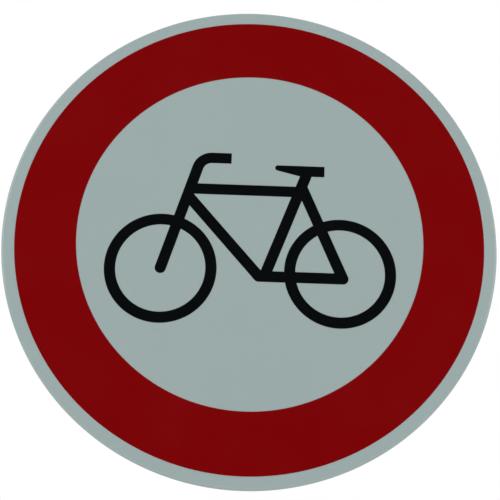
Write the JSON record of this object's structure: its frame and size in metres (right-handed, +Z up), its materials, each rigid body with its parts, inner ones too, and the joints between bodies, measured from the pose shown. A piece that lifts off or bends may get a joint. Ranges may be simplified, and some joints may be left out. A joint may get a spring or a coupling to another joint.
{
  "type": "no cycling sign",
  "caption": "Round traffic sign that closes a road to bicycles: red ring and black bicycle on a reflective white face, formed aluminium blank, clamp rails behind.",
  "frame": {"origin": "centre of the sign, on the plane of the rail backs, where post clamps seat", "axes": "+X to the right as the face is read, +Y out of the back toward the post, +Z up; the face looks toward -Y"},
  "size_m": [0.6, 0.0205, 0.6],
  "materials": {
    "blank_aluminium": "rolled sheet, mill finish, dull",
    "rail_aluminium": "extruded, mill finish, fine lines along the length",
    "white_sheeting": "retroreflective glass-bead sheeting, satin, cool white",
    "red_film": "transparent red film over the reflective sheeting, semi-gloss",
    "black_film": "opaque black film, semi-gloss"
  },
  "bodies": {
    "root": {"sign_blank": "blank_aluminium", "face_sheeting": "white_sheeting", "red_ring": "red_film", "bicycle_symbol": "black_film", "upper_rail": "rail_aluminium", "lower_rail": "rail_aluminium"}
  },
  "joints": []
}
